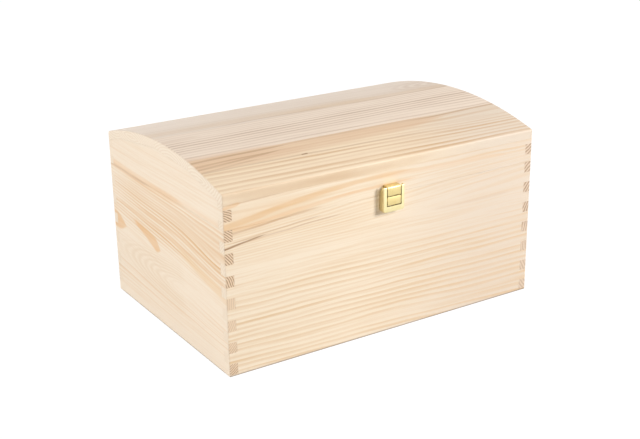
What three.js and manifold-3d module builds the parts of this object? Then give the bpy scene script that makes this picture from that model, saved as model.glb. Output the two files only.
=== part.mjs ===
// Small domed chest of bare pine: a finger-jointed box, a lid topped with curved staves,
// two brass butt hinges behind and a hinged clasp with a press button in front.
// Millimetres. +X runs along the chest, -Y faces the front, +Z is up.
// The origin is on the underside, in the middle of the walls.
import * as THREE from 'three';
import { mergeVertices } from 'three/addons/utils/BufferGeometryUtils.js';
import Module from 'manifold-3d';

const wasm = await Module();
wasm.setup();

// Carcass
const chestLength = 330;
const chestDepth = 228;
const domeRise = 17;
const boardThickness = 8;
const rimHeight = 132;
const lidEdgeHeight = 30.7; // of the lid by itself, where the dome meets the front and the back
const lidGap = 0.15;
const sawKerf = 2.6; // the carcass is glued up whole, then the lid is sawn off
const glueLine = 0.1;
const longArrisRadius = 2;
const footArrisRadius = 1.4;
const endArrisRadius = 1.2;
const overrun = 3; // how far a cutter runs past the face that it opens

// Finger joints
const fingerHeight = 10;
const firstFingerHeight = 2; // height above the floor of the lowest end board finger

// Lid staves, front to back
const staveThickness = 8;
const staveWidthShares = [0.26, 0.285, 0.335, 0.12];
const domeFacets = 48;
const arrisFacets = 4;

// Bottom panel
const panelThickness = 4;
const rebateWidth = 4;
const cutterRadius = 6;
const panelPlay = 0.3;

// Butt hinges
const hingeSetback = 55; // from the end of the chest to the middle of a hinge
const hingeLength = 25;
const leafThickness = 1;
const leafMargin = 1.2; // wood left in front of a leaf
const hingePinRadius = 1.2;
const knuckleStandoff = 0.3; // from the back of the chest to the knuckles
const knuckleCount = 5;
const runningGap = 0.05;
const endPlay = 0.2; // between neighbouring knuckles
const mortisePlay = 0.1;
const screwSpacingShare = 0.56; // of the length of the hinge
const screwLength = 9;
const screwRadius = 0.9;
const screwHeadRadius = 1.8;
const screwHeadHeight = 0.9;
const screwSlotWidth = 0.5;
const screwSlotDepth = 0.4;
const rollSeam = 0.25;

// Clasp: sheet brass pressings round the lid line
const claspSheet = 0.7;
const claspWidth = 22.2;
const claspProjection = 7;
const claspDrop = 14.4; // below the lid line
const claspReach = 8.6; // above the lid line
const claspCornerRadius = 2;
const claspEdgeRadius = 0.6;
const claspStandoff = 0.3; // from the boards to the side walls of the hasp
const claspShoulder = 3.6; // above the lid line, where the side walls slant off to the ears
const windowWidth = 15.9;
const bandHeight = 5.2; // front band under the window
const slitWidth = 0.9;
const lidPlateTop = 9.1; // above the lid line
const lidPlateBend = 2.1; // outer radius of its upper front edge
const seatGap = 0.2;
const claspPinRadius = 0.9;
const earWall = 0.6; // metal round the pin in the ears of the hasp
const buttonPinRadius = 0.6;
const buttonPinDrop = 6; // below the lid line
const buttonPinDepth = 1.7; // from the front face of the clasp
const cheekRadius = 1.3;
const cheekFootReach = 1; // behind the rails of the hasp
const cheekFootHeight = 2.5;
const cheekFootDrop = 2; // below the lid line
const keeperWidth = 10;
const keeperBridgeWidth = 6.4;
const keeperHeight = 3.8;
const keeperDrop = 0.7; // from the lid line to the top of the keeper
const keeperProjection = 3.2;
const catchSheet = 0.3;
const catchWidth = 4;
const catchGap = 0.2; // under the keeper
const catchGrip = 0.3; // height of the nib behind the keeper
const catchFixing = 2.4;
const prongLength = 5;
const prongWidth = 3;
const keeperProngWidth = 2;
const prongPlay = 0.1;
const springWireRadius = 0.15;
const springTurns = 3;
const springPitch = 0.42;
const springUpperLeg = 3;
const springLowerLeg = 4.2;
const springEndTurnShare = 0.2;

// Faces that the pieces are set from
const frontY = -chestDepth / 2;
const backY = chestDepth / 2;
const endX = chestLength / 2;
const lidBottom = rimHeight + lidGap;
const lidLine = rimHeight + lidGap / 2;
const edgeHeight = lidBottom + lidEdgeHeight;

// Sizes of the dome: a circle through both edges and the crown
const domeRadius = (backY * backY + domeRise * domeRise) / (2 * domeRise);
const domeCentreZ = edgeHeight + domeRise - domeRadius;
const domeHalfAngle = Math.asin(backY / domeRadius);

const pine = (colour) => new THREE.MeshStandardMaterial({ color: colour, roughness: 0.62, metalness: 0 });
const palePine = pine(0xf1dfc4);
const warmPine = pine(0xecd2ab);
const topPine = pine(0xe4cfb6);
const plywood = new THREE.MeshStandardMaterial({ color: 0xdcc4a0, roughness: 0.7, metalness: 0 });
const paleBrass = new THREE.MeshStandardMaterial({ color: 0xe9d38a, roughness: 0.3, metalness: 0.9 });
const hingeBrass = new THREE.MeshStandardMaterial({ color: 0xd9b866, roughness: 0.35, metalness: 0.9 });
const springSteel = new THREE.MeshStandardMaterial({ color: 0xb9bcc0, roughness: 0.35, metalness: 0.9 });

const chest = new THREE.Group();

// A closed geometry as a solid that can be joined and cut
function solidOf(geometry) {
  const bare = geometry.clone();
  bare.deleteAttribute('normal');
  bare.deleteAttribute('uv');
  const merged = mergeVertices(bare);
  return new wasm.Manifold(new wasm.Mesh({
    numProp: 3,
    vertProperties: merged.attributes.position.array,
    triVerts: new Uint32Array(merged.index.array),
  }));
}

// Adds a finished solid to the chest as one named mesh
function place(name, solid, material) {
  const { vertProperties, triVerts } = solid.getMesh();
  const geometry = new THREE.BufferGeometry();
  geometry.setAttribute('position', new THREE.BufferAttribute(vertProperties, 3));
  geometry.setIndex(new THREE.BufferAttribute(triVerts, 1));
  geometry.computeVertexNormals();
  const mesh = new THREE.Mesh(geometry, material.clone());
  mesh.material.flatShading = true;
  mesh.name = name;
  chest.add(mesh);
}

function block([x0, x1], [y0, y1], [z0, z1]) {
  const box = new THREE.BoxGeometry(x1 - x0, y1 - y0, z1 - z0);
  return solidOf(box.translate((x0 + x1) / 2, (y0 + y1) / 2, (z0 + z1) / 2));
}

const axisX = new THREE.Vector3(1, 0, 0);
const axisY = new THREE.Vector3(0, 1, 0);
const axisZ = new THREE.Vector3(0, 0, 1);

// A section drawn in Y and Z, run along X
function alongX(points, [x0, x1], edge = 0) {
  const geometry = new THREE.ExtrudeGeometry(new THREE.Shape(points), extrusion(x1 - x0, edge));
  geometry.applyMatrix4(new THREE.Matrix4().makeBasis(axisY, axisZ, axisX));
  return solidOf(geometry.translate(x0 + edge, 0, 0));
}

// A section drawn in X and Z, run along Y
function alongY(points, [y0, y1], edge = 0) {
  const geometry = new THREE.ExtrudeGeometry(new THREE.Shape(points), extrusion(y1 - y0, edge));
  geometry.applyMatrix4(new THREE.Matrix4().makeBasis(axisX, axisZ, axisY.clone().negate()));
  return solidOf(geometry.translate(0, y1 - edge, 0));
}

// A section drawn in X and Y, run along Z
function alongZ(points, [z0, z1]) {
  const geometry = new THREE.ExtrudeGeometry(new THREE.Shape(points), extrusion(z1 - z0, 0));
  return solidOf(geometry.translate(0, 0, z0));
}

// Extrusion settings; an edge above zero rounds the section off at both ends
function extrusion(run, edge) {
  return {
    depth: run - 2 * edge,
    bevelEnabled: edge > 0,
    bevelThickness: edge,
    bevelSize: edge,
    bevelOffset: -edge,
    bevelSegments: 3,
  };
}

// Points of an arc, from one angle to another
function arc(centreA, centreB, radius, from, to, facets) {
  return Array.from({ length: facets + 1 }, (_, i) => {
    const angle = from + ((to - from) * i) / facets;
    return new THREE.Vector2(centreA + radius * Math.cos(angle), centreB + radius * Math.sin(angle));
  });
}

function discAlongX(y, z, radius, [x0, x1], facets = 20) {
  const disc = new THREE.CylinderGeometry(radius, radius, x1 - x0, facets);
  return solidOf(disc.rotateZ(Math.PI / 2).translate((x0 + x1) / 2, y, z));
}

// A strip of sheet bent along a centre line, as the outline of its edge
function bentStrip(line, thickness) {
  const side = (sign) => line.map((point, i) => {
    const before = point.clone().sub(line[Math.max(i - 1, 0)]).normalize();
    const after = line[Math.min(i + 1, line.length - 1)].clone().sub(point).normalize();
    const along = before.clone().add(after).normalize();
    const stretch = i === 0 || i === line.length - 1 ? 1 : 1 / along.dot(before);
    const reach = (sign * stretch * thickness) / 2;
    return new THREE.Vector2(point.x - along.y * reach, point.y + along.x * reach);
  });
  return [...side(1), ...side(-1).reverse()];
}

// The closed chest as one sanded block, which trims every outer board
function chestBlock() {
  const topY = backY - longArrisRadius;
  const topZ = domeCentreZ + Math.sqrt((domeRadius - longArrisRadius) ** 2 - topY ** 2);
  const topAngle = Math.atan2(topZ - domeCentreZ, topY);
  const footY = backY - footArrisRadius;
  return alongX([
    ...arc(-footY, footArrisRadius, footArrisRadius, -Math.PI / 2, -Math.PI, arrisFacets),
    ...arc(-topY, topZ, longArrisRadius, Math.PI, Math.PI - topAngle, arrisFacets),
    ...arc(0, domeCentreZ, domeRadius, Math.PI - topAngle, topAngle, domeFacets).slice(1, -1),
    ...arc(topY, topZ, longArrisRadius, topAngle, 0, arrisFacets),
    ...arc(footY, footArrisRadius, footArrisRadius, 0, -Math.PI / 2, arrisFacets),
  ], [-endX, endX], endArrisRadius);
}

// The flat undersides of the staves, as points from the front to the back
function staveUndersides() {
  const frontTurn = domeHalfAngle;
  const edgeZ = edgeHeight - staveThickness / Math.cos(frontTurn);
  const innerRadius = domeRadius - staveThickness;
  const points = [new THREE.Vector2(frontY, edgeZ)];
  let passed = 0;
  for (const share of staveWidthShares.slice(0, -1)) {
    passed += share;
    const turn = -frontTurn + 2 * frontTurn * passed;
    points.push(new THREE.Vector2(innerRadius * Math.sin(turn), domeCentreZ + innerRadius * Math.cos(turn)));
  }
  points.push(new THREE.Vector2(backY, edgeZ));
  // The outer two run on past the faces, in line, so that the trimming block cuts them off
  const runOn = (end, inner) => end.clone().add(end.clone().sub(inner).setLength(overrun));
  const last = points.length - 1;
  return [runOn(points[0], points[1]), ...points.slice(1, last), runOn(points[last], points[last - 1])];
}

const wholeBlock = chestBlock();
const undersides = staveUndersides();
const boxZone = [0, rimHeight];
const lidZone = [lidBottom, edgeHeight + domeRise];

// Everything in the lid that lies under the staves
const underStaves = alongX([
  new THREE.Vector2(undersides[0].x, lidBottom),
  new THREE.Vector2(undersides.at(-1).x, lidBottom),
  ...undersides.map((p) => new THREE.Vector2(p.x, p.y - glueLine)).reverse(),
], [-endX - overrun, endX + overrun]);

// Heights of the end board fingers; above the saw cut they come down by the kerf
function fingerHeights() {
  const sawn = (z) => (z > rimHeight ? Math.max(z - sawKerf + lidGap, lidBottom) : z);
  const heights = [];
  const pitch = 2 * fingerHeight;
  for (let low = firstFingerHeight; low < edgeHeight; low += pitch) {
    heights.push([sawn(low), sawn(low + fingerHeight)]);
  }
  return heights;
}

// A front or back board: a full-length board, notched at both ends for the end board fingers
function longBoard(facingFront, zone) {
  const outer = facingFront ? frontY : backY - boardThickness;
  let board = block([-endX, endX], [outer, outer + boardThickness], zone);
  const notch = boardThickness + glueLine;
  for (const [low, high] of fingerHeights()) {
    for (const x of [[-endX - overrun, -endX + notch], [endX - notch, endX + overrun]]) {
      const cut = block(x, [outer - overrun, outer + boardThickness + overrun],
        [low - glueLine / 2, high + glueLine / 2]);
      board = board.subtract(cut);
    }
  }
  return board.intersect(wholeBlock);
}

// An end board: it stops between the long boards, apart from its fingers
function endBoard(onLeft, zone) {
  const x = onLeft ? [-endX, -endX + boardThickness] : [endX - boardThickness, endX];
  const shoulder = backY - boardThickness - glueLine;
  let board = block(x, [-shoulder, shoulder], zone);
  for (const [low, high] of fingerHeights()) {
    const from = Math.max(low + glueLine / 2, zone[0]);
    const to = Math.min(high - glueLine / 2, zone[1]);
    if (to > from) board = board.add(block(x, [frontY, backY], [from, to]));
  }
  return board.intersect(wholeBlock);
}

// A rectangle with rounded corners, seen from above
function roundedRectangle(halfX, halfY, radius) {
  const corner = (signX, signY, start) => arc(signX * (halfX - radius), signY * (halfY - radius), radius,
    start, start + Math.PI / 2, 2 * arrisFacets);
  return [
    ...corner(1, 1, 0),
    ...corner(-1, 1, Math.PI / 2),
    ...corner(-1, -1, Math.PI),
    ...corner(1, -1, -Math.PI / 2),
  ];
}

// The rebate for the bottom panel, routed round the glued-up walls, and the panel in it
const rebateHalfX = endX - boardThickness + rebateWidth;
const rebateHalfY = backY - boardThickness + rebateWidth;
const rebate = alongZ(roundedRectangle(rebateHalfX, rebateHalfY, cutterRadius),
  [-overrun, panelThickness + glueLine]);
const bottomPanel = alongZ(
  roundedRectangle(rebateHalfX - panelPlay, rebateHalfY - panelPlay, cutterRadius - panelPlay),
  [0, panelThickness]);

// Hinges: the pin lies behind the chest at the height of the lid line
const knuckleRadius = hingePinRadius + runningGap + leafThickness;
const hingeY = backY + knuckleStandoff + knuckleRadius;
const leafFrontY = backY - boardThickness + leafMargin;
const screwY = (leafFrontY + backY) / 2;
const leafZ = {
  box: [rimHeight - leafThickness, rimHeight],
  lid: [lidBottom, lidBottom + leafThickness],
};

// The places of one leaf's knuckles along the pin; the leaves take turns
function knucklePlaces(centreX, ownsFirst) {
  const pitch = hingeLength / knuckleCount;
  const places = [];
  for (let i = ownsFirst ? 0 : 1; i < knuckleCount; i += 2) {
    const low = centreX - hingeLength / 2 + i * pitch;
    places.push([low, low + pitch]);
  }
  return places;
}

// One leaf: a plate with rolled knuckles, room for the other leaf's knuckles and two screw holes
function hingeLeaf(centreX, part) {
  const ofBox = part === 'box';
  const [low, high] = leafZ[part];
  const span = [centreX - hingeLength / 2, centreX + hingeLength / 2];
  let leaf = block(span, [leafFrontY, hingeY], [low, high]);
  const clearance = knuckleRadius + endPlay;
  for (const [x0, x1] of knucklePlaces(centreX, !ofBox)) {
    const cut = block([x0 - endPlay / 2, x1 + endPlay / 2], [hingeY - clearance, hingeY + clearance],
      [lidLine - clearance, lidLine + clearance]);
    leaf = leaf.subtract(cut);
  }
  for (const [x0, x1] of knucklePlaces(centreX, ofBox)) {
    const span = [x0 + endPlay / 2, x1 - endPlay / 2];
    leaf = leaf.add(discAlongX(hingeY, lidLine, knuckleRadius, span));
  }
  leaf = leaf.subtract(discAlongX(hingeY, lidLine, hingePinRadius + runningGap,
    [span[0] - overrun, span[1] + overrun]));
  // The roll ends in a narrow seam above the plate of the box leaf and under that of the lid leaf
  const seamZ = ofBox ? [lidLine, lidLine + rollSeam] : [lidLine - rollSeam, lidLine];
  for (const [x0, x1] of knucklePlaces(centreX, ofBox)) {
    leaf = leaf.subtract(block([x0, x1], [hingeY - clearance, hingeY - hingePinRadius / 2], seamZ));
  }
  for (const x of screwPlaces(centreX)) leaf = leaf.subtract(screwBody(x, part, mortisePlay));
  return leaf;
}

const screwReach = (hingeLength * screwSpacingShare) / 2;
const screwPlaces = (centreX) => [centreX - screwReach, centreX + screwReach];

// A countersunk screw, or the hole for it when play is above zero
function screwBody(x, part, play) {
  const tip = screwLength + play;
  const profile = [
    new THREE.Vector2(0, -tip),
    new THREE.Vector2(screwRadius / 2 + play, -tip + screwRadius),
    new THREE.Vector2(screwRadius + play, -tip + 2 * screwRadius),
    new THREE.Vector2(screwRadius + play, -screwHeadHeight),
    new THREE.Vector2(screwHeadRadius + play, 0),
    ...(play > 0 ? [new THREE.Vector2(screwHeadRadius + play, overrun), new THREE.Vector2(0, overrun)]
      : [new THREE.Vector2(0, 0)]),
  ];
  const screw = new THREE.LatheGeometry(profile, 16).rotateX(Math.PI / 2);
  if (part === 'lid') screw.rotateX(Math.PI);
  return solidOf(screw.translate(x, screwY, part === 'lid' ? lidBottom : rimHeight));
}

// The screw itself, with a driver slot across its head
function slottedScrew(x, part) {
  const face = part === 'lid' ? lidBottom : rimHeight;
  const slotZ = part === 'lid' ? [face - overrun, face + screwSlotDepth]
    : [face - screwSlotDepth, face + overrun];
  const slot = block([x - screwSlotWidth / 2, x + screwSlotWidth / 2],
    [screwY - 2 * screwHeadRadius, screwY + 2 * screwHeadRadius], slotZ);
  return screwBody(x, part, 0).subtract(slot);
}

// The mortise that lets a leaf in flush with the edge of its board
function mortise(centreX, part) {
  const [low, high] = leafZ[part];
  const z = part === 'box' ? [low - mortisePlay, high + overrun] : [low - overrun, high + mortisePlay];
  return block([centreX - hingeLength / 2 - mortisePlay, centreX + hingeLength / 2 + mortisePlay],
    [leafFrontY - mortisePlay, backY + overrun], z);
}

const hinges = [
  { side: 'left', x: -endX + hingeSetback },
  { side: 'right', x: endX - hingeSetback },
];

// A back board with its mortises and screw holes
function hingedBoard(zone, part) {
  let board = longBoard(false, zone);
  for (const { x } of hinges) {
    board = board.subtract(mortise(x, part));
    for (const screwX of screwPlaces(x)) board = board.subtract(screwBody(screwX, part, mortisePlay));
  }
  return board;
}

// Clasp, set out from the front of the chest: out(d) lies d in front of the boards
const out = (depth) => frontY - depth;
const claspHalf = claspWidth / 2;
const windowHalf = windowWidth / 2;
const plateHalf = windowHalf - slitWidth;
const claspBottom = lidLine - claspDrop;
const claspTop = lidLine + claspReach;
const innerDepth = claspProjection - claspSheet;
const claspPinDepth = claspProjection - lidPlateBend;
const claspPinZ = lidLine + lidPlateTop - lidPlateBend;
const buttonAxisDepth = claspProjection - buttonPinDepth;
const buttonAxisZ = lidLine - buttonPinDrop;
const buttonTop = lidLine - slitWidth / 2;
const buttonBottom = claspBottom + bandHeight + slitWidth;
const keeperTop = lidLine - keeperDrop;
const keeperZ = [keeperTop - keeperHeight, keeperTop];
const footDepth = innerDepth - runningGap - claspSheet;
const at = (depth, z) => new THREE.Vector2(out(depth), z);

// A pointed prong of sheet metal, driven into the wood behind the front face
function prong(x, z, width, fromDepth) {
  const point = width / 2;
  return alongX([at(fromDepth, z - width / 2), at(fromDepth, z + width / 2),
    at(point - prongLength, z + width / 2), at(-prongLength, z), at(point - prongLength, z - width / 2)], x);
}

// The slit in the board that takes a prong
function prongSlit([x0, x1], z, width) {
  return block([x0 - prongPlay, x1 + prongPlay], [out(overrun), out(-prongLength - prongPlay)],
    [z - width / 2 - prongPlay, z + width / 2 + prongPlay]);
}

const lidPlateProngs = [[-plateHalf, -plateHalf + claspSheet], [plateHalf - claspSheet, plateHalf]];
const lidPlateProngZ = (lidBottom + claspPinZ) / 2;
const keeperHalf = keeperWidth / 2;
const keeperProngs = [[-keeperHalf, -keeperHalf + claspSheet], [keeperHalf - claspSheet, keeperHalf]];
const keeperProngZ = (keeperZ[0] + keeperZ[1]) / 2;

// The plate on the lid: a strip bent from the front over the top to the wood, with two
// cheeks under the bend that hold the hasp's pin
function lidPlate() {
  const middle = claspSheet / 2;
  const foot = seatGap + middle;
  const crown = lidLine + lidPlateTop - middle;
  const bend = arc(out(claspPinDepth), claspPinZ, lidPlateBend - middle, Math.PI, Math.PI / 2,
    2 * arrisFacets);
  const sheet = [at(claspProjection - middle, lidLine + slitWidth / 2), ...bend, at(foot, crown),
    at(foot, lidLine + slitWidth)];
  const cheek = [at(claspProjection - middle, claspPinZ - lidPlateBend), ...bend, at(foot, crown),
    at(foot, claspPinZ - lidPlateBend)];
  let plate = alongX(bentStrip(sheet, claspSheet), [-plateHalf, plateHalf]);
  for (const x of lidPlateProngs) {
    plate = plate.add(prong(x, lidPlateProngZ, prongWidth, foot)).add(alongX(cheek, x));
  }
  return plate.subtract(discAlongX(out(claspPinDepth), claspPinZ, claspPinRadius + runningGap,
    [-claspHalf, claspHalf]));
}

// The hasp: a pressed cover with side walls, a window and two ears on the pin
function hasp() {
  const outline = (half, bottom, radius, top) => [
    new THREE.Vector2(half, top),
    new THREE.Vector2(-half, top),
    ...arc(-half + radius, bottom + radius, radius, Math.PI, 1.5 * Math.PI, 2 * arrisFacets),
    ...arc(half - radius, bottom + radius, radius, -Math.PI / 2, 0, 2 * arrisFacets),
  ];
  const backEdge = claspStandoff - 2 * claspEdgeRadius;
  const through = [-claspHalf - overrun, claspHalf + overrun];
  const earRadius = claspPinRadius + runningGap + earWall;
  let cover = alongY(outline(claspHalf, claspBottom, claspCornerRadius, claspTop),
    [out(claspProjection), out(backEdge)], claspEdgeRadius);
  cover = cover.subtract(block([-claspWidth, claspWidth], [out(claspStandoff), out(-overrun)],
    [claspBottom - overrun, claspTop + overrun]));
  const hollow = alongY(outline(claspHalf - claspSheet, claspBottom + claspSheet,
    claspCornerRadius - claspSheet, claspTop + overrun), [out(innerDepth), out(-overrun)]);
  const window = block([-windowHalf, windowHalf], [out(claspProjection + overrun), out(-overrun)],
    [claspBottom + bandHeight, claspTop + overrun]);
  const shoulderZ = lidLine + claspShoulder;
  const slant = alongX([at(-overrun, shoulderZ), at(claspStandoff, shoulderZ),
    at(claspPinDepth - earRadius, claspPinZ), at(claspPinDepth - earRadius, claspTop + overrun),
    at(-overrun, claspTop + overrun)], through);
  cover = cover.subtract(hollow).subtract(window).subtract(slant);
  for (const x of [[-claspHalf, -claspHalf + claspSheet], [claspHalf - claspSheet, claspHalf]]) {
    cover = cover.add(discAlongX(out(claspPinDepth), claspPinZ, earRadius, x));
  }
  return cover
    .subtract(discAlongX(out(claspPinDepth), claspPinZ, claspPinRadius + runningGap, through))
    .subtract(discAlongX(out(buttonAxisDepth), buttonAxisZ, buttonPinRadius + runningGap, through, 12));
}

// The press button: a plate in the window with two cheeks on the pin, whose feet stop it at the rails
function button() {
  const rear = claspProjection - claspSheet;
  let plate = block([-plateHalf, plateHalf], [out(claspProjection), out(rear)], [buttonBottom, buttonTop]);
  const footZ = [lidLine - cheekFootDrop - cheekFootHeight, lidLine - cheekFootDrop];
  for (const side of [-1, 1]) {
    const between = (a, b) => [Math.min(side * a, side * b), Math.max(side * a, side * b)];
    const cheekX = between(plateHalf - claspSheet, plateHalf);
    const footX = between(plateHalf - claspSheet, windowHalf + cheekFootReach);
    plate = plate
      .add(discAlongX(out(buttonAxisDepth), buttonAxisZ, cheekRadius, cheekX))
      .add(block(cheekX, [out((claspProjection + rear) / 2), out(buttonAxisDepth)],
        [buttonAxisZ - cheekRadius, footZ[1]]))
      .add(block(footX, [out(footDepth + claspSheet), out(footDepth)], footZ));
  }
  return plate.subtract(discAlongX(out(buttonAxisDepth), buttonAxisZ, buttonPinRadius + runningGap,
    [-claspHalf, claspHalf], 12));
}

// The spring catch: a strip behind the button that runs under the keeper to a nib behind it
function springCatch() {
  const fixedDepth = innerDepth - seatGap / 2 - catchSheet / 2;
  const nibDepth = keeperProjection - claspSheet - runningGap - catchSheet / 2;
  const stemZ = keeperZ[0] - catchGap - catchSheet / 2;
  return alongX(bentStrip([
    at(fixedDepth, stemZ + catchFixing),
    at(fixedDepth, stemZ),
    at(nibDepth, stemZ),
    at(nibDepth, keeperZ[0] + catchGrip),
  ], catchSheet), [-catchWidth / 2, catchWidth / 2]);
}

// The keeper on the box: a bridge of sheet brass with room behind it for the nib
function keeper() {
  const foot = seatGap + claspSheet / 2;
  const bridge = keeperProjection - claspSheet / 2;
  const bend = keeperBridgeWidth / 2 - claspSheet / 2;
  const hat = alongZ(bentStrip([
    new THREE.Vector2(-keeperHalf, out(foot)),
    new THREE.Vector2(-bend, out(foot)),
    new THREE.Vector2(-bend, out(bridge)),
    new THREE.Vector2(bend, out(bridge)),
    new THREE.Vector2(bend, out(foot)),
    new THREE.Vector2(keeperHalf, out(foot)),
  ], claspSheet), keeperZ);
  return keeperProngs.reduce((plate, x) => plate.add(prong(x, keeperProngZ, keeperProngWidth, foot)), hat);
}

// The torsion spring on the button's pin: one leg behind a foot, one behind the rail below
function buttonSpring() {
  const coilRadius = buttonPinRadius + springWireRadius + runningGap;
  const startX = plateHalf + springWireRadius + runningGap;
  const facets = 10;
  const turns = springTurns + springEndTurnShare;
  const coil = Array.from({ length: Math.round(facets * turns) + 1 }, (_, i) => {
    const angle = Math.PI + (2 * Math.PI * i) / facets;
    return new THREE.Vector3(startX + (springPitch * i) / facets,
      out(buttonAxisDepth + coilRadius * Math.cos(angle)), buttonAxisZ + coilRadius * Math.sin(angle));
  });
  const upper = new THREE.Vector3(startX, out(footDepth - springWireRadius - runningGap),
    buttonAxisZ + springUpperLeg);
  const lower = new THREE.Vector3(coil.at(-1).x + springPitch,
    out(innerDepth - springWireRadius - runningGap), buttonAxisZ - springLowerLeg);
  return wireThrough([upper, ...coil, lower], springWireRadius);
}

// A round wire along a list of points, with a ring of corners at each bend
function wireThrough(points, radius) {
  const sides = 6;
  let up = axisX.clone();
  const rings = points.map((point, i) => {
    const before = point.clone().sub(points[Math.max(i - 1, 0)]).normalize();
    const after = points[Math.min(i + 1, points.length - 1)].clone().sub(point).normalize();
    const along = before.add(after).normalize();
    up = up.clone().addScaledVector(along, -up.dot(along)).normalize();
    const across = along.clone().cross(up);
    return Array.from({ length: sides }, (_, side) => {
      const angle = (2 * Math.PI * side) / sides;
      return point.clone().addScaledVector(up, radius * Math.cos(angle))
        .addScaledVector(across, radius * Math.sin(angle));
    });
  });
  const corners = [...rings.flat(), points[0], points.at(-1)];
  const endRing = (rings.length - 1) * sides;
  const startPoint = rings.length * sides;
  const faces = [];
  for (let side = 0; side < sides; side++) {
    const next = (side + 1) % sides;
    faces.push(startPoint, next, side, startPoint + 1, endRing + side, endRing + next);
    for (let ring = 0; ring < endRing; ring += sides) {
      faces.push(ring + side, ring + next, ring + sides + side);
      faces.push(ring + next, ring + sides + next, ring + sides + side);
    }
  }
  return solidOf(new THREE.BufferGeometry().setFromPoints(corners).setIndex(faces));
}

// Box
const keeperSlits = keeperProngs.map((x) => prongSlit(x, keeperProngZ, keeperProngWidth));
place('front_board', keeperSlits.reduce((board, slit) => board.subtract(slit),
  longBoard(true, boxZone).subtract(rebate)), warmPine);
place('back_board', hingedBoard(boxZone, 'box').subtract(rebate), warmPine);
place('left_board', endBoard(true, boxZone).subtract(rebate), palePine);
place('right_board', endBoard(false, boxZone).subtract(rebate), palePine);
place('bottom_panel', bottomPanel, plywood);

// Lid frame
const lidPlateSlits = lidPlateProngs.map((x) => prongSlit(x, lidPlateProngZ, prongWidth));
place('lid_front_rail', lidPlateSlits.reduce((rail, slit) => rail.subtract(slit),
  longBoard(true, lidZone).intersect(underStaves)), warmPine);
place('lid_back_rail', hingedBoard(lidZone, 'lid').intersect(underStaves), warmPine);
place('lid_left_end', endBoard(true, lidZone).intersect(underStaves), palePine);
place('lid_right_end', endBoard(false, lidZone).intersect(underStaves), palePine);

// Lid staves: flat below, sanded to the dome above, bevelled to each other along the seams
const outerRadius = domeRadius + overrun;
let passedShare = 0;
staveWidthShares.forEach((share, i) => {
  const turn = (passed) => -domeHalfAngle + 2 * domeHalfAngle * passed;
  const seam = glueLine / 2 / domeRadius;
  const last = staveWidthShares.length - 1;
  const from = turn(passedShare) + (i > 0 ? seam : 0);
  passedShare += share;
  const to = turn(passedShare) - (i < last ? seam : 0);
  const ray = (angle, radius) =>
    new THREE.Vector2(radius * Math.sin(angle), domeCentreZ + radius * Math.cos(angle));
  const innerRadius = domeRadius - staveThickness;
  const topZ = edgeHeight + domeRise + overrun;
  const section = [
    i > 0 ? ray(from, innerRadius) : undersides[0],
    i < last ? ray(to, innerRadius) : undersides.at(-1),
    i < last ? ray(to, outerRadius) : new THREE.Vector2(undersides.at(-1).x, topZ),
    i > 0 ? ray(from, outerRadius) : new THREE.Vector2(undersides[0].x, topZ),
  ];
  const stave = alongX(section, [-endX - overrun, endX + overrun]).intersect(wholeBlock);
  place(`lid_stave_${i + 1}`, stave, topPine);
});

// Hinges and their screws
for (const { side, x } of hinges) {
  place(`hinge_box_leaf_${side}`, hingeLeaf(x, 'box'), hingeBrass);
  place(`hinge_lid_leaf_${side}`, hingeLeaf(x, 'lid'), hingeBrass);
  place(`hinge_pin_${side}`, discAlongX(hingeY, lidLine, hingePinRadius,
    [x - hingeLength / 2, x + hingeLength / 2]), hingeBrass);
  screwPlaces(x).forEach((screwX, i) => {
    place(`box_hinge_screw_${side}_${i + 1}`, slottedScrew(screwX, 'box'), hingeBrass);
    place(`lid_hinge_screw_${side}_${i + 1}`, slottedScrew(screwX, 'lid'), hingeBrass);
  });
}

// Clasp
place('clasp_lid_plate', lidPlate(), paleBrass);
place('clasp_pin', discAlongX(out(claspPinDepth), claspPinZ, claspPinRadius,
  [-claspHalf, claspHalf]), paleBrass);
place('clasp_hasp', hasp(), paleBrass);
place('clasp_button', button(), paleBrass);
place('clasp_button_pin', discAlongX(out(buttonAxisDepth), buttonAxisZ, buttonPinRadius,
  [-claspHalf, claspHalf], 12), paleBrass);
place('clasp_catch', springCatch(), springSteel);
place('clasp_spring', buttonSpring(), springSteel);
place('clasp_keeper', keeper(), paleBrass);

export default chest;
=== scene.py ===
# A small domed chest of bare pine with finger-jointed corners, two brass-plated butt hinges
# and a press-button clasp. Metres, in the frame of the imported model, and millimetres for
# the grain of the wood.
from math import cos, pi, radians, sin

import bmesh
import bpy
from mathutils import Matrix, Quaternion, Vector


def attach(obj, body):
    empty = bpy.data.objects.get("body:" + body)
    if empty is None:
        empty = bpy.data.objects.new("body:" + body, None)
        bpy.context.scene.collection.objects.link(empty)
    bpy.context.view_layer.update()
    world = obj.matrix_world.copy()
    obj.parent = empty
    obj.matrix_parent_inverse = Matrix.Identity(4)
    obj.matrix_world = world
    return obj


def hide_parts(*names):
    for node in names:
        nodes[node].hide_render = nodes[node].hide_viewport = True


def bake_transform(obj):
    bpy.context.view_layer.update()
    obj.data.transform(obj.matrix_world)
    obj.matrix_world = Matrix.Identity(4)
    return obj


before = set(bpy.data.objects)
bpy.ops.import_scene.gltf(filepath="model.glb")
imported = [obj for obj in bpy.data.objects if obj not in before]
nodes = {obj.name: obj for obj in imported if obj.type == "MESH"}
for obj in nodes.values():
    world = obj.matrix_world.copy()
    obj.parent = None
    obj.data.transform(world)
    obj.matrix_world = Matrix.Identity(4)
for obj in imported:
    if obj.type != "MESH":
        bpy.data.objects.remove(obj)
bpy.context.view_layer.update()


# Camera: stands in front and to the left of the chest, a little above it, and looks down
# at it by twenty degrees. The lens is long, so the edges converge only slightly.
camera_data = bpy.data.cameras.new("camera")
camera_data.sensor_width = 36
camera_data.lens = 66.17
camera_data.clip_start = 0.05
camera = bpy.data.objects.new("camera", camera_data)
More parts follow.
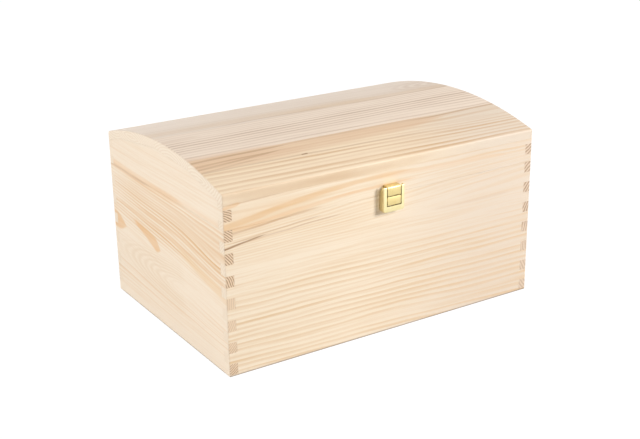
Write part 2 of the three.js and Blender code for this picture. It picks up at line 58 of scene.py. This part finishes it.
bpy.context.scene.collection.objects.link(camera)
heading, dip, tilt = radians(32.419), radians(20.310), -0.01467
sight = Vector((sin(heading) * cos(dip), cos(heading) * cos(dip), -sin(dip)))
camera.rotation_mode = "QUATERNION"
camera.rotation_quaternion = sight.to_track_quat("-Z", "Y") @ Quaternion((0, 0, 1), tilt)
camera.location = (-0.57387, -0.90319, 0.46912)
bpy.context.scene.camera = camera
bpy.context.scene.view_settings.view_transform = "Standard"


# Surroundings: a white floor that keeps a little of the chest's shadow, white all round,
# one soft lamp on each side of the camera, one above and one behind the chest.
class Shade:
    """A socket in a material, with the usual signs of arithmetic."""

    def __init__(self, tree, socket=None):
        self.tree = tree
        self.socket = socket

    def node(self, kind, settings=None, output=0, **sockets):
        """An output of a new node. A socket goes by its name, with _ for a space, or by its
        number after a _. The settings come first, and a ramp's setting is its stops."""
        made = self.tree.nodes.new("ShaderNode" + kind)
        for key, value in (settings or {}).items():
            if key == "stops":
                draw_ramp(made.color_ramp, value)
            else:
                setattr(made, key, value)
        for key, value in sockets.items():
            name = key.replace("_", " ").strip()
            target = int(name) if name.isdigit() else name
            if isinstance(value, Shade):
                value.into(made, target)
            else:
                made.inputs[target].default_value = value
        return Shade(self.tree, made.outputs[output])

    def output(self, name):
        """Another output of the node that this one belongs to."""
        return Shade(self.tree, self.socket.node.outputs[name])

    def into(self, node, target):
        """Link this to one of a node's sockets."""
        self.tree.links.new(self.socket, node.inputs[target])

    def maths(self, operation, *values):
        sockets = {f"_{place}": value for place, value in enumerate(values)}
        return self.node("Math", {"operation": operation}, **sockets)

    def __add__(self, other):
        return self.maths("ADD", self, other)

    def __sub__(self, other):
        return self.maths("SUBTRACT", self, other)

    def __rsub__(self, other):
        return self.maths("SUBTRACT", other, self)

    def __mul__(self, other):
        return self.maths("MULTIPLY", self, other)

    def __truediv__(self, other):
        return self.maths("DIVIDE", self, other)

    def __abs__(self):
        return self.maths("ABSOLUTE", self)

    __radd__ = __add__
    __rmul__ = __mul__

    def step(self, low, high):
        """0 below low, 1 above high, and a smooth rise between them."""
        settings = {"interpolation_type": "SMOOTHSTEP"}
        return self.node("MapRange", settings, Value=self, From_Min=low, From_Max=high)

    def band(self, low, high, falling, gone):
        """0 up to low, 1 from high to falling, and 0 again from gone."""
        return self.step(low, high) * (1 - self.step(falling, gone))

    def profile(self, *points):
        """The level of a smooth curve drawn through (input, level) points."""
        low, high = points[0][0], points[-1][0]
        levels = [level for _, level in points]
        least = min(levels)
        spread = max(levels) - least or 1.0
        stops = [((spot - low) / (high - low), (level - least) / spread) for spot, level in points]
        place = (self - low) / (high - low)
        return self.node("ValToRGB", {"stops": stops}, _0=place) * spread + least

    def mix(self, first, second):
        """A colour that goes from first to second as this goes from 0 to 1."""
        settings = {"data_type": "RGBA", "clamp_factor": True}
        return self.node("Mix", settings, output=2, _0=self, _6=first, _7=second)


def draw_ramp(ramp, stops):
    """Give a new ramp its stops, pairs of place and grey level, with smooth curves between."""
    ramp.interpolation = "EASE"
    for place, _ in stops[1:-1]:
        ramp.elements.new(place)
    for element, (_, level) in zip(ramp.elements, stops):
        element.color = (level, level, level, 1.0)


def new_material(name):
    """A bare material, its tree to build on and its surface node."""
    material = bpy.data.materials.new(name)
    material.use_nodes = True
    tree = material.node_tree
    return material, Shade(tree), tree.nodes["Principled BSDF"]


def seen_itself(shade):
    """1 where the camera sees it, in metal or through glass too, and 0 where it only lights."""
    path = shade.node("LightPath")
    seen = path.output("Is Camera Ray")
    for ray in ("Is Glossy Ray", "Is Transmission Ray"):
        seen = shade.maths("MAXIMUM", seen, path.output(ray))
    return seen


floor_mesh = bmesh.new()
bmesh.ops.create_grid(floor_mesh, x_segments=1, y_segments=1, size=6)
floor = bpy.data.objects.new("floor", bpy.data.meshes.new("floor"))
floor_mesh.to_mesh(floor.data)
floor_mesh.free()
bpy.context.scene.collection.objects.link(floor)
gap_under_foot = 0.0002
floor.location.z = -gap_under_foot
floor_material, shade, surface = new_material("floor")
surface.inputs["Base Color"].default_value = (0.52, 0.52, 0.52, 1)
surface.inputs["Roughness"].default_value = 0.9
surface.inputs["Specular IOR Level"].default_value = 0.1
glow = shade.node("Emission", Color=(1, 1, 1, 1), Strength=1.12)
glow_share = seen_itself(shade) * 0.88
matt = Shade(shade.tree, surface.outputs["BSDF"])
lit = shade.node("MixShader", _0=glow_share, _1=matt, _2=glow)
lit.into(shade.tree.nodes["Material Output"], "Surface")
floor.data.materials.append(floor_material)

world = bpy.data.worlds.new("world")
bpy.context.scene.world = world
world.use_nodes = True
sky = Shade(world.node_tree)
dim = sky.node("Background", Color=(1.0, 0.99, 0.98, 1), Strength=0.25)
bright = sky.node("Background", Color=(1, 1, 1, 1), Strength=1.0)
both = sky.node("MixShader", _0=seen_itself(sky), _1=dim, _2=bright)
both.into(sky.tree.nodes["World Output"], "Surface")

chest_middle = Vector((0, 0, 0.09))
for name, place, size, power in (
    ("left_lamp", (-1.62, -0.02, 0.35), 0.68, 12.8),
    ("right_lamp", (1.24, -1.78, 1.08), 0.75, 45.6),
    ("top_lamp", (-0.2, 0.1, 1.7), 1.2, 6.5),
    ("back_lamp", (0.35, 1.75, 0.36), 0.6, 16.0),
):
    lamp_data = bpy.data.lights.new(name, "AREA")
    lamp_data.size = size
    lamp_data.energy = power
    lamp = bpy.data.objects.new(name, lamp_data)
    lamp.visible_glossy = name != "back_lamp"
    lamp.location = place
    aim = chest_middle - lamp.location
    lamp.rotation_euler = aim.to_track_quat("-Z", "Y").to_euler()
    bpy.context.scene.collection.objects.link(lamp)


# Front and back: each a single board from the foot to under the dome, sawn through at the
# lid line after gluing, so the grain runs on from the box to the lid. Bare pine, flat-sawn
# and sanded: growth rings that cross the board at a slant, with single bold ones drawn in.
def tint(red, green, blue):
    """A colour as it looks on screen, from 0 to 255, as Blender's linear numbers."""
    def linear(level):
        share = level / 255
        return share / 12.92 if share <= 0.04045 else ((share + 0.055) / 1.055) ** 2.4
    return (linear(red), linear(green), linear(blue), 1.0)


class Board:
    """The places in a board, in millimetres: run goes along its grain, wide across its broad
    faces and deep through it. Level is wide as the straying grain has it."""

    def __init__(self, shade, grain, seed, wander):
        self.shade = shade
        self.seed = seed
        self.wander = wander
        place = shade.node("TexCoord", output="Object")
        self.place = shade.node("VectorMath", {"operation": "SCALE"}, _0=place, Scale=1000)
        split = shade.node("SeparateXYZ", Vector=self.place)
        x, y, self.height = (split.output(axis) for axis in "XYZ")
        axes = {"wall": (x, y, self.height), "end": (y, x, self.height),
                "stave": (x, self.height, y)}
        self.run, self.deep, self.wide = axes[grain]
        slow = (self.blur(along=170, across=70) - 0.5) * wander
        quick = (self.blur(along=60, across=24, shift=9.1) - 0.5) * (0.35 * wander)
        self.level = self.wide + (slow + quick)

    def blur(self, along, across, detail=2.0, shift=0.0):
        """Smooth noise from 0 to 1, drawn out along the grain. A shift gives it another one."""
        spot = self.shade.node("CombineXYZ", X=self.run / along + (self.seed + shift),
                               Y=self.deep / across, Z=self.wide / across + 3.7 * self.seed)
        return self.noise(spot, detail=detail)

    def noise(self, spot, scale=1.0, detail=1.0, roughness=0.5):
        return self.shade.node("TexNoise", {"noise_dimensions": "3D"}, Vector=spot, Scale=scale,
                               Detail=detail, Roughness=roughness)


def growth_rings(board, gap, even, slope, fall):
    """Each place's level with the rise of its ring taken out, and its share of late wood."""
    straight = board.level - board.run * board.level.profile(*slope)
    if fall:
        whole, none, *drops = fall
        straight = straight + (1 - board.run.step(whole, none)) * board.level.profile(*drops)
    rings = straight / gap + (board.blur(along=260, across=18, shift=4.2) - 0.5)
    number = board.shade.maths("FLOOR", rings)
    age = board.shade.maths("FRACT", rings)
    vigour = board.shade.node("TexWhiteNoise", {"noise_dimensions": "1D"}, W=number + board.seed)
    late = age.band(0.1, 0.7, 0.76, 1.0) * (even + (1 - even) * vigour)
    return straight, late * (0.35 + 1.2 * board.blur(along=120, across=40, shift=2.3))


def close_lines(board, straight, pitch, fading, faded, heights):
    """Regular lines that are narrower than the rings, and fade out along the run."""
    stray = board.blur(along=110, across=12, shift=12.4) * 5
    wave = straight * (2 * pi / pitch) + stray
    lines = board.shade.maths("SINE", wave) * 0.5 + 0.5
    return lines * (1 - board.run.step(fading, faded)) * board.level.profile(*heights)


def draw_streaks(board, colour, streaks):
    """Single bold lines, each bowed and soft, that narrow to nothing in their last part."""
    opened, closing_from = 0.2, 0.72
    stray = board.blur(along=38, across=9, shift=5.5) - 0.5
    path = board.level + stray * (0.35 * board.wander)
    patchy = 0.35 + 1.3 * board.blur(along=70, across=7, shift=3.3)
    for start, end, bow, start_half, end_half, soft, strength, dye in streaks:
        (start_run, start_wide), (end_run, end_wide) = start, end
        way = (board.run - start_run) / (end_run - start_run)
        middle = start_wide + (end_wide - start_wide) * way + way * (1 - way) * (4 * bow)
        closing = way.step(closing_from, 1.0)
        closing = closing * closing
        half = (start_half + (end_half - start_half) * way) * (1 - closing) - soft * closing
        mask = (1 - (abs(path - middle) - half).step(0, soft)) * way.step(0, opened)
        colour = (mask * strength * patchy).mix(colour, dye)
    return colour


def draw_arches(board, colour, arches):
    """Nested arches, where the saw left a ring almost flat in the board's face."""
    for (middle_run, middle_wide), squash, pitch, reach, side, strength, dye in arches:
        across = (board.level - middle_wide) * squash
        along = (board.run - middle_run) * side
        distance = board.shade.maths("SQRT", across * across + along * along)
        strayed = distance + (board.blur(along=40, across=20, shift=7.7) - 0.5) * pitch
        lines = board.shade.maths("SINE", strayed * (2 * pi / pitch)) * 0.5 + 0.5
        mask = 1 - abs(distance - reach / 2).step(0.15 * reach, 0.45 * reach)
        mask = mask * along.step(0, pitch)
        colour = (mask * lines * strength).mix(colour, dye)
    return colour


def end_grain(board, pores, face, heart, hatch, cut):
    """Stripes across the sawn ends, arcs of rings round a heart that lies behind the face."""
    heart_wide, heart_behind, pitch = heart
    inward = abs(board.deep - face) + heart_behind
    beside = board.wide - heart_wide
    radius = board.shade.maths("SQRT", inward * inward + beside * beside)
    stray = (board.blur(along=60, across=6, shift=8.8) - 0.5) * 0.8
    age = board.shade.maths("FRACT", radius / pitch + stray)
    stripe = age.band(0.15, 0.6, 0.7, 0.95) * board.wide.profile(*hatch)
    return (stripe + (pores - 0.5) * 0.25).mix(*cut)


def dress(surface, colour, roughness, relief, strength, depth):
    """Link what varies over a finish to its surface, the relief by way of a bump."""
    colour.into(surface, "Base Color")
    roughness.into(surface, "Roughness")
    bump = relief.node("Bump", Strength=strength, Distance=depth, Height=relief)
    bump.into(surface, "Normal")


def pine(name, grain, face, seed, pale, amber, cut, gap, slope, contrast, wander=6.0,
         fall=None, heart=(60, 50, 2.4), fine=0.7, hatch=((0, 0.5), (180, 0.5)), even=0.3,
         streaks=(), arches=(), far=None, dense=None):
    """Bare pine for a board, in millimetres. Curves are (place across the board, level) pairs.

    grain: wall, end or stave, the way the board lies; face: where its outer face is
    pale, amber: early and late wood; far: runs where pale starts to change and has changed,
        and what it is there
    gap, even: the rings' distance, and how alike they are; wander: how far they stray
    slope: curve of their rise along the run; fall: run where they drop by all of the curve
        that follows, run where they don't
    contrast: curve of the late wood; fine: strength of the finest threads between the rings
    dense: pitch of close lines, runs where they start to fade and are gone, curve
    streaks: run and place of both ends, bow, half width at both ends, softness, strength, dye
    arches: run and place of the middle, squash, pitch, reach, side, strength, dye
    cut: pale and dark of the end grain; hatch: curve of its stripes
    heart: its place across the board, how far it is behind the face, pitch of the rings
    """
    material, shade, surface = new_material(name)
    board = Board(shade, grain, seed, wander)
    straight, late = growth_rings(board, gap, even, slope, fall)
    long, deep, narrow = 80, 9, 1.6
    thread = shade.node("CombineXYZ", X=board.run / long + seed, Y=board.deep / deep,
                        Z=straight / narrow)
    threads = (board.noise(thread) - 0.5) * fine
    if far:
        start, end, far_pale = far
        pale = board.run.step(start, end).mix(pale, far_pale)
    colour = (late * board.level.profile(*contrast) + threads).mix(pale, amber)
    if dense:
        colour = close_lines(board, straight, *dense).mix(colour, amber)
    colour = draw_streaks(board, colour, streaks)
    colour = draw_arches(board, colour, arches)
    fibre = board.blur(along=9, across=0.35, detail=3.0, shift=1.5)
    colour = (abs(fibre - 0.5) * 0.5).mix(colour, amber)

    # Painted shade darkens the foot of the walls, where they meet the floor, and the sawn ends
    # show pores and stripes.
    painted_foot_shade = tint(128, 98, 72)
    normal = shade.node("SeparateXYZ", Vector=shade.node("TexCoord", output="Normal"))
    level_face = abs(normal.output("Z")).step(0.75, 0.95)
    # Painted contact shade along the foot arris, left off the underside and other level faces.
    foot_shade_mask = (1 - board.height.step(0.6, 2.2)) * (1 - level_face)
    colour = (foot_shade_mask * 0.75).mix(colour, painted_foot_shade)
    sawn = abs(normal.output("Y" if grain == "end" else "X")).step(0.55, 0.9)
    pores = board.noise(board.place, scale=1.7, detail=2.0, roughness=0.6)
    colour = sawn.mix(colour, end_grain(board, pores, face, heart, hatch, cut))
    roughness = 0.52 + 0.1 * late + 0.12 * sawn + 0.1 * (fibre - 0.5)
    relief = fibre * 0.6 + late * 0.5 + pores * sawn
    dress(surface, colour, roughness, relief, strength=0.25, depth=0.0002)
    surface.inputs["Specular IOR Level"].default_value = 0.35
    return material


def finish_with(material, *names):
    """Give CAD nodes this material alone."""
    for name in names:
        nodes[name].data.materials.clear()
        nodes[name].data.materials.append(material)


orange, umber = tint(238, 190, 134), tint(196, 150, 106)
pale_cut = (tint(250, 233, 211), tint(236, 212, 184))
finish_with(
    pine("pine_front", "wall", face=-114, seed=2.0,
         pale=tint(252, 235, 211), amber=tint(228, 190, 140), cut=pale_cut,
         # The far colour is partly painted shade: the front turns darker and greyer towards its
         # right end.
         gap=5.2, even=0.6, fine=0.9, far=(-60, 130, tint(234, 217, 198)),
         slope=((0, -0.035), (70, -0.012), (100, 0.0), (130, 0.06), (150, 0.0)),
         contrast=((0, 0.6), (60, 0.58), (82, 0.4), (94, 0.1), (118, 0.18), (134, 0.25),
                   (150, 0.35), (163, 0.45)),
         dense=(2.9, -70, 30, ((94, 0), (106, 0.32), (127, 0.36), (137, 0.1), (163, 0.1))),
         streaks=(
             ((-280, 124), (-50, 142), 4.0, 6.0, 3.0, 9.0, 0.25, tint(240, 202, 158)),
             ((-205, 109), (-118, 122), 1.0, 0.4, 0.1, 1.1, 0.85, tint(152, 106, 64)),
             ((-150, 118), (-40, 124.5), 0.5, 0.1, 0.1, 1.0, 0.5, umber),
             ((-170, 118.5), (-60, 127), 1.0, 0.1, 0.1, 1.0, 0.4, umber),
             ((-205, 128.5), (50, 150), 6.5, 1.8, 0.5, 2.3, 0.55, tint(234, 188, 130)),
             ((-205, 127), (50, 141.5), 3.5, 0.6, 0.4, 1.9, 0.5, orange),
             ((-185, 125), (-60, 135), 1.8, 0.4, 0.2, 1.4, 0.5, tint(206, 160, 114)),
             ((-176, 149), (-146, 154.5), 0.5, 0.5, 1.0, 1.5, 0.5, orange),
             ((-30, 147), (150, 143), 2.0, 0.6, 0.6, 3.0, 0.2, orange),
             ((-190, 153.5), (60, 157), 0.6, 0.1, 0.1, 1.1, 0.45, umber),
             ((-190, 157), (20, 160), 0.5, 0.1, 0.1, 1.0, 0.4, umber),
             ((40, 108), (150, 106), 0.0, 0.3, 0.2, 2.5, 0.12, umber),
         )),
    "front_board", "lid_front_rail")
finish_with(
    pine("pine_back", "wall", face=114, seed=5.0,
         pale=tint(250, 231, 204), amber=tint(226, 184, 130), cut=pale_cut,
         gap=5.4, wander=8.0,
         slope=((0, 0.03), (60, 0.04), (100, -0.02), (163, 0.0)),
         contrast=((0, 0.6), (40, 0.5), (64, 0.15), (96, 0.2), (120, 0.6), (163, 0.7)),
         streaks=(((175, 60), (-20, 78), 4.0, 0.6, 5.0, 3.0, 0.5, orange),),
         arches=(((40, 84), 3.0, 17, 130, -1, 0.3, tint(236, 205, 168)),)),
    "back_board", "lid_back_rail")


# Ends: one board each from the foot to under the staves, grain from front to back. The
# fingers show their end grain on the front and the back, greyer than the boards' faces.
grey_cut = (tint(242, 216, 186), tint(166, 130, 96))
pale_grey_cut = (tint(229, 206, 183), tint(168, 136, 106))
finish_with(
    pine("pine_left", "end", face=-165, seed=11.0,
         pale=tint(252, 235, 213), amber=tint(230, 188, 138), cut=grey_cut,
         gap=3.4, wander=5.0, heart=(70, 42, 1.9),
         hatch=((0, 0.75), (20, 0.5), (34, 0.28), (70, 0.28), (82, 0.85), (180, 0.85)),
         slope=((0, 0.0), (19, 0.03), (40, 0.08), (66, 0.06), (80, 0.06), (96, 0.06), (112, 0.04),
                (128, 0.02), (150, 0.0)),
         fall=(-115, 10, (0, 0), (66, 0), (84, 10), (98, 9), (114, 4), (134, 0), (180, 0)),
         dense=(3.0, 50, 110, ((0, 0), (98, 0), (107, 0.45), (126, 0.45), (133, 0), (180, 0))),
         contrast=((0, 0.1), (16, 0.12), (30, 0.5), (40, 0.35), (48, 0.06), (70, 0.08), (80, 0.3),
                   (86, 0.95), (104, 0.95), (112, 0.75), (128, 0.6), (135, 0.15), (175, 0.08)),
         streaks=(
             ((200, 84), (80, 74), 0.0, 5.0, 7.5, 3.0, 0.65, orange),
             ((70, 88), (8, 73), 2.0, 0.3, 6.5, 3.0, 0.65, orange),
             ((-16, 90), (-155, 66), -1.0, 0.5, 5.5, 4.0, 0.5, tint(240, 204, 156)),
             ((120, 98), (-150, 76), 6.0, 0.8, 0.6, 2.4, 0.5, tint(232, 190, 140)),
             ((70, 105), (-150, 87), 4.0, 0.6, 0.6, 2.2, 0.5, tint(232, 190, 140)),
             ((150, 136), (-60, 133), -2.0, 0.5, 0.3, 6.0, 0.4, orange),
             ((40, 132), (-150, 134), 1.0, 0.3, 0.4, 5.0, 0.16, orange),
             ((150, 131.6), (10, 131.8), 0.0, 0.2, 0.2, 1.4, 0.4, umber),
         ),
         arches=(((-40, 50), 6.2, 14, 170, 1, 0.45, tint(237, 213, 182)),)),
    "left_board", "lid_left_end")
finish_with(
    pine("pine_right", "end", face=165, seed=17.0,
         pale=tint(251, 233, 211), amber=tint(228, 186, 138), cut=pale_grey_cut,
         gap=4.2, wander=8.0, heart=(56, 56, 3.0),
         hatch=((0, 0.4), (50, 0.4), (62, 0.45), (76, 0.8), (180, 0.8)),
         slope=((0, -0.04), (80, -0.08), (120, 0.0), (175, 0.02)),
         contrast=((0, 0.5), (50, 0.6), (74, 0.2), (96, 0.15), (116, 0.5), (175, 0.4)),
         streaks=(((-118, 92), (30, 80), 3.0, 0.8, 4.5, 3.0, 0.5, orange),),
         arches=(((40, 84), 2.6, 16, 120, -1, 0.3, tint(236, 208, 176)),)),
    "right_board", "lid_right_end")


# Staves: four pine strips glued edge to edge over the ends and sanded to one arc. The front
# one is boldly striped, the next ones are plainer and greyer.
rose, dusk = tint(224, 188, 154), tint(196, 160, 126)
stave_cut = (tint(252, 236, 215), tint(240, 218, 192))
finish_with(
    pine("pine_stave_1", "stave", face=165, seed=23.0,
         pale=tint(246, 225, 196), amber=tint(206, 162, 114), cut=stave_cut,
         gap=5.4, wander=4.0, even=0.5, far=(0, 130, tint(233, 217, 198)),
         heart=(-70, 30, 3.0), hatch=((-114, 0.7), (-56, 0.6)),
         slope=((-114, -0.01), (-92, -0.02), (-80, -0.03), (-56, 0.02)),
         contrast=((-114, 0.65), (-86, 0.7), (-78, 0.35), (-68, 0.45), (-56, 0.4)),
         streaks=(
             ((-260, -67), (125, -60), -2.0, 9.0, 6.0, 7.0, 0.62, rose),
             ((-230, -79), (100, -84), 0.5, 0.2, 0.2, 1.8, 0.45, dusk),
             ((-190, -62), (-60, -59), 2.0, 0.4, 0.4, 2.6, 0.7, dusk),
             ((-190, -74), (-70, -64), -1.5, 0.4, 0.3, 2.0, 0.65, dusk),
             ((-190, -70), (-80, -66), 1.0, 0.3, 0.2, 1.6, 0.5, dusk),
             ((-180, -80), (-100, -73), 0.0, 0.2, 0.2, 1.8, 0.4, dusk),
             ((-90, -57), (110, -57.5), 0.0, 0.3, 0.3, 2.2, 0.35, dusk),
             ((60, -59), (215, -57), 1.0, 0.3, 0.8, 2.0, 0.6, dusk),
             ((-70, -81), (-62, -80.5), 0.0, 0.3, 0.6, 0.8, 0.8, tint(160, 122, 88)),
         )),
    "lid_stave_1")
finish_with(
    pine("pine_stave_2", "stave", face=170, seed=29.0,
         pale=tint(245, 227, 208), amber=tint(186, 154, 128), cut=stave_cut,
         gap=5.4, wander=4.0, even=0.45,
         heart=(-20, 40, 2.6), hatch=((-56, 0.6), (10, 0.6)),
         slope=((-56, -0.01), (10, 0.01)),
         contrast=((-56, 0.4), (-40, 0.45), (-34, 0.7), (-16, 0.7), (-8, 0.45), (10, 0.3)),
         streaks=(
             ((-240, -54), (-60, -57), 1.0, 2.0, 0.4, 6.0, 0.45, rose),
             ((-190, -9), (-120, -6), 2.0, 0.2, 0.2, 2.0, 0.3, dusk),
             ((-190, -16), (-140, -13), 1.0, 0.2, 0.2, 2.0, 0.25, dusk),
         )),
    "lid_stave_2")
finish_with(
    pine("pine_stave_3", "stave", face=170, seed=31.0,
         pale=tint(235, 219, 203), amber=tint(200, 172, 144), cut=stave_cut,
         gap=5.0, wander=8.0,
         heart=(60, 40, 2.6), hatch=((10, 0.6), (88, 0.6)),
         slope=((10, 0.0), (50, -0.03), (88, 0.0)),
         contrast=((10, 0.4), (26, 0.45), (40, 0.2), (88, 0.25)),
         streaks=(
             ((-260, 20), (120, 17), 4.0, 1.0, 2.0, 12.0, 0.4, tint(222, 194, 160)),
             ((-60, 18), (260, 24), -5.0, 1.0, 1.0, 10.0, 0.4, tint(222, 194, 160)),
             ((-110, 12), (40, 13), 1.5, 0.2, 0.2, 2.4, 0.4, dusk),
             ((20, 14), (200, 17), -4.0, 0.2, 0.3, 2.4, 0.45, dusk),
         ),
         arches=(((185, 36), 2.6, 13, 90, -1, 0.35, tint(200, 174, 150)),)),
    "lid_stave_3")
finish_with(
    pine("pine_stave_4", "stave", face=168, seed=37.0,
         pale=tint(238, 222, 206), amber=tint(206, 176, 146), cut=stave_cut,
         gap=4.2, wander=5.0,
         heart=(100, 40, 2.6), hatch=((87, 0.6), (114, 0.6)),
         slope=((87, 0.0), (114, 0.01)),
         contrast=((87, 0.35), (114, 0.45))),
    "lid_stave_4")


# Bottom: a panel of thin plywood, glued into a rebate round the inside of the foot. Its face
# veneer is quiet and even, sanded but not finished.
panel_material, shade, surface = new_material("plywood")
place = shade.node("TexCoord", output="Object")
drawn_out = shade.node("VectorMath", {"operation": "MULTIPLY"}, _0=place, _1=(25, 420, 420))
veneer = shade.node("TexNoise", {"noise_dimensions": "3D"}, Vector=drawn_out, Scale=1.0,
                    Detail=4.0, Roughness=0.6)
colour = veneer.step(0.3, 0.75).mix(tint(232, 211, 180), tint(206, 176, 138))
dress(surface, colour, 0.6 + 0.15 * veneer, veneer, strength=0.2, depth=0.0002)
finish_with(panel_material, "bottom_panel")


# Hinges: two small butt hinges of bright brass-plated sheet, let into the edges of the
# boards, and their countersunk screws. The stamped leaves have slightly rounded edges.
def bright_metal(name, bright, dull, roughness, seed):
    """A bright metal, a little blotchy and scuffed. The seed varies its pattern."""
    material, shade, surface = new_material(name)
    place = shade.node("TexCoord", output="Object")
    blotches = shade.node("TexNoise", {"noise_dimensions": "3D"}, Vector=place,
                          Scale=160.0 + seed, Detail=3.0, Roughness=0.6)
    scuffs = shade.node("TexNoise", {"noise_dimensions": "3D"}, Vector=place,
                        Scale=1900.0 + seed, Detail=2.0, Roughness=0.6)
    colour = blotches.step(0.35, 0.8).mix(bright, dull)
    shine = roughness + 0.16 * (blotches - 0.5) + 0.1 * (scuffs - 0.5)
    dress(surface, colour, shine, scuffs + blotches, strength=0.12, depth=0.0001)
    surface.inputs["Metallic"].default_value = 1.0
    return material


def softened(node, body, material, width):
    """The node's own shape with its sharp edges rounded, in place of the node. A piece given no
    body is not attached to one."""
    same_place, flat, edge, crease = 1e-6, radians(1), radians(38), radians(42)
    shape = bmesh.new()
    shape.from_mesh(nodes[node].data)
    bmesh.ops.remove_doubles(shape, verts=shape.verts, dist=same_place)
    bmesh.ops.dissolve_limit(shape, angle_limit=flat, verts=shape.verts, edges=shape.edges)
    sharp = [line for line in shape.edges if line.is_manifold and line.calc_face_angle() > edge]
    bmesh.ops.bevel(shape, geom=sharp, offset=width, offset_type="OFFSET", segments=2,
                    affect="EDGES", profile=0.5, material=-1, clamp_overlap=True)
    bmesh.ops.triangulate(shape, faces=[face for face in shape.faces if len(face.verts) > 4])
    mesh = bpy.data.meshes.new(node + "_softened")
    shape.to_mesh(mesh)
    shape.free()
    mesh.shade_smooth()
    mesh.set_sharp_from_angle(angle=crease)
    mesh.materials.append(material)
    piece = bpy.data.objects.new(node + "_softened", mesh)
    bpy.context.scene.collection.objects.link(piece)
    if body:
        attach(piece, body)
    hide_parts(node)
    return piece


hinge_plating = bright_metal("hinge_plating", tint(226, 196, 120), tint(206, 172, 98),
                             roughness=0.3, seed=3.0)
leaf_edge, pin_edge, screw_edge = 0.00012, 0.0002, 0.00006
for side in ("left", "right"):
    for name, body, width in (
        (f"hinge_box_leaf_{side}", "box", leaf_edge),
        (f"hinge_lid_leaf_{side}", "lid", leaf_edge),
        (f"hinge_pin_{side}", "box", pin_edge),
        (f"box_hinge_screw_{side}_1", "box", screw_edge),
        (f"lid_hinge_screw_{side}_1", "lid", screw_edge),
        (f"box_hinge_screw_{side}_2", "box", screw_edge),
        (f"lid_hinge_screw_{side}_2", "lid", screw_edge),
    ):
        softened(name, body, hinge_plating, width)


# Clasp: pressings of thin brass-plated sheet, pale and satin, and a steel catch. The hasp
# turns on the pin under the bent top of the lid plate, and its button lets the catch go.
clasp_plating = bright_metal("clasp_plating", tint(238, 225, 176), tint(232, 216, 160),
                             roughness=0.42, seed=7.0)
panel_plating = bright_metal("clasp_panel_plating", tint(230, 211, 152), tint(222, 201, 140),
                             roughness=0.44, seed=9.0)
steel = bright_metal("spring_steel", tint(206, 206, 208), tint(180, 182, 186),
                     roughness=0.3, seed=11.0)
for name, body, plating, width in (
    ("clasp_lid_plate", "lid", panel_plating, 0.00012),
    ("clasp_pin", "lid", clasp_plating, 0.00015),
    ("clasp_hasp", "hasp", clasp_plating, 0.00015),
    ("clasp_button", "button", panel_plating, 0.00015),
    ("clasp_button_pin", "hasp", clasp_plating, 0.0001),
    ("clasp_keeper", "box", clasp_plating, 0.0001),
):
    softened(name, body, plating, width)
thin_edge = 0.00004
softened("clasp_catch", "button", steel, thin_edge)


# Button spring: a wire coil on the pin of the button, whose foot presses on its upper leg.
# It is attached to no body and stays where it is made.
spring = softened("clasp_spring", None, steel, thin_edge)
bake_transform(spring)
